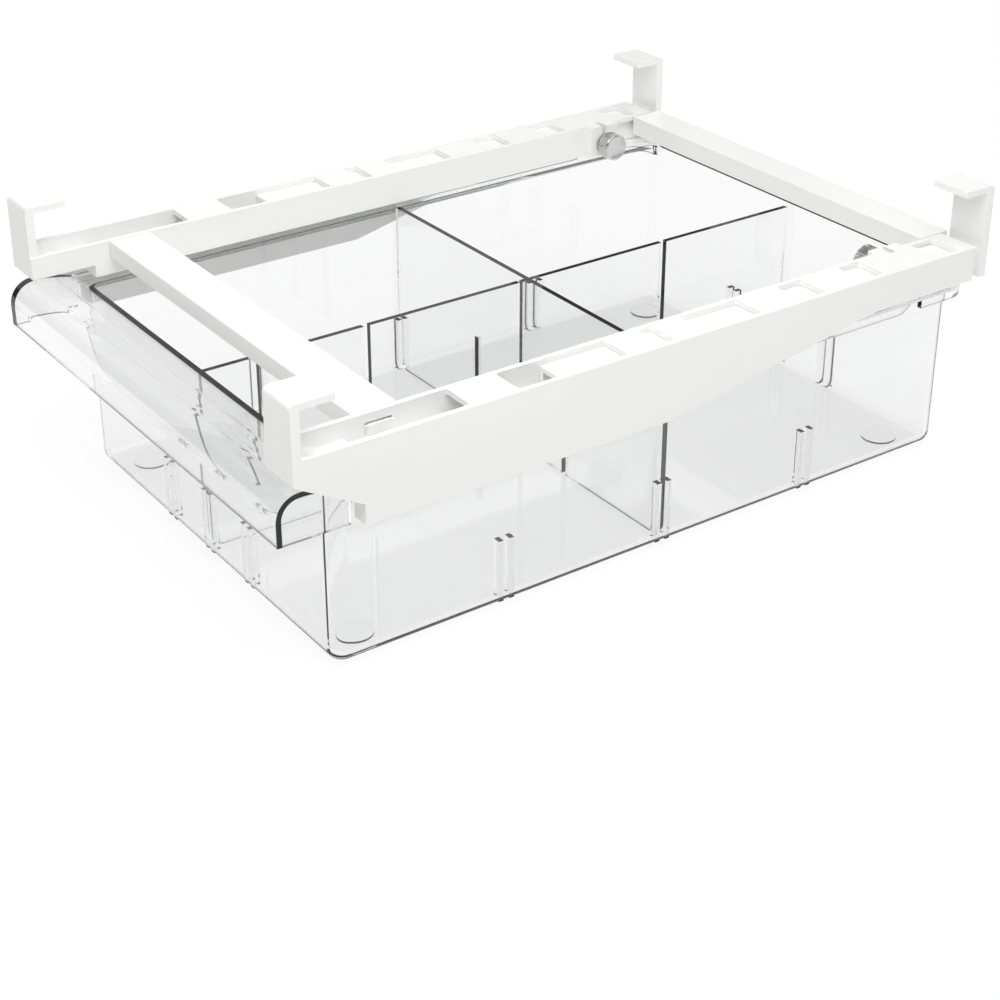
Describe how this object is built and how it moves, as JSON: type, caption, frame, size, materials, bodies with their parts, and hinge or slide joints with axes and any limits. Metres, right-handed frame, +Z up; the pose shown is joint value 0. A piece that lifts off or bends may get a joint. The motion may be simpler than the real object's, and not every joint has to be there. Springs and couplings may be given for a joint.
{
  "type": "fridge drawer organizer",
  "caption": "Clear pull-out drawer hung under a fridge shelf by a white hook-on frame, with telescoping rear arms, thumbscrews and slot-together dividers",
  "frame": {"origin": "under the middle of the overall length and width, on the plane of the drawer's feet", "axes": "+Z up; +X to the right-hand rail seen from the handle; the handle is at -Y and the telescoping rear hooks at +Y"},
  "size_m": [0.21, 0.3054, 0.1144],
  "materials": {
    "frame_plastic": "satin",
    "clear_plastic": "clear gloss",
    "nickel": "satin nickel plate, straight-knurled",
    "brass": "machined"
  },
  "bodies": {
    "frame": {"right_rail": "frame_plastic", "left_rail": "frame_plastic", "front_crossbar": "frame_plastic", "threaded_inserts": "brass"},
    "rear_frame": {"right_rear_arm": "frame_plastic", "left_rear_arm": "frame_plastic", "rear_crossbar": "frame_plastic"},
    "right_screw_travel": {"right_washer": "nickel"},
    "right_screw": {"right_thumbscrew": "nickel"},
    "left_screw_travel": {"left_washer": "nickel"},
    "left_screw": {"left_thumbscrew": "nickel"},
    "drawer": {"drawer_tub": "clear_plastic"},
    "long_divider": {"lengthwise_divider": "clear_plastic"},
    "cross_divider": {"crosswise_divider": "clear_plastic"}
  },
  "joints": [
    {"name": "drawer_pull", "type": "slide", "parent": "frame", "child": "drawer", "axis": [0, -1, 0], "range_m": [-0.0027, 0.202]},
    {"name": "rear_telescope", "type": "slide", "parent": "frame", "child": "rear_frame", "axis": [0, 1, 0], "range_m": [-0.003, 0.08]},
    {"name": "right_washer_travel", "type": "slide", "parent": "frame", "child": "right_screw_travel", "axis": [1, 0, 0], "range_m": [-0.00211, 0]},
    {"name": "right_screw_turn", "type": "hinge", "parent": "right_screw_travel", "child": "right_screw", "pos_m": [0.08, 0.1173, 0.0834], "axis": [1, 0, 0], "range_deg": [-1080, 0]},
    {"name": "left_washer_travel", "type": "slide", "parent": "frame", "child": "left_screw_travel", "axis": [-1, 0, 0], "range_m": [-0.00211, 0]},
    {"name": "left_screw_turn", "type": "hinge", "parent": "left_screw_travel", "child": "left_screw", "pos_m": [-0.08, 0.1173, 0.0834], "axis": [-1, 0, 0], "range_deg": [-1080, 0]},
    {"name": "long_divider_lift", "type": "slide", "parent": "drawer", "child": "long_divider", "axis": [0, 0, 1], "range_m": [0, 0.009]},
    {"name": "cross_divider_lift", "type": "slide", "parent": "drawer", "child": "cross_divider", "axis": [0, 0, 1], "range_m": [0, 0.08]}
  ],
  "couplings": [
    {"joint": "right_washer_travel", "follows": "right_screw_turn", "m_per_rad": 0.00011141},
    {"joint": "left_washer_travel", "follows": "left_screw_turn", "m_per_rad": 0.00011141}
  ]
}
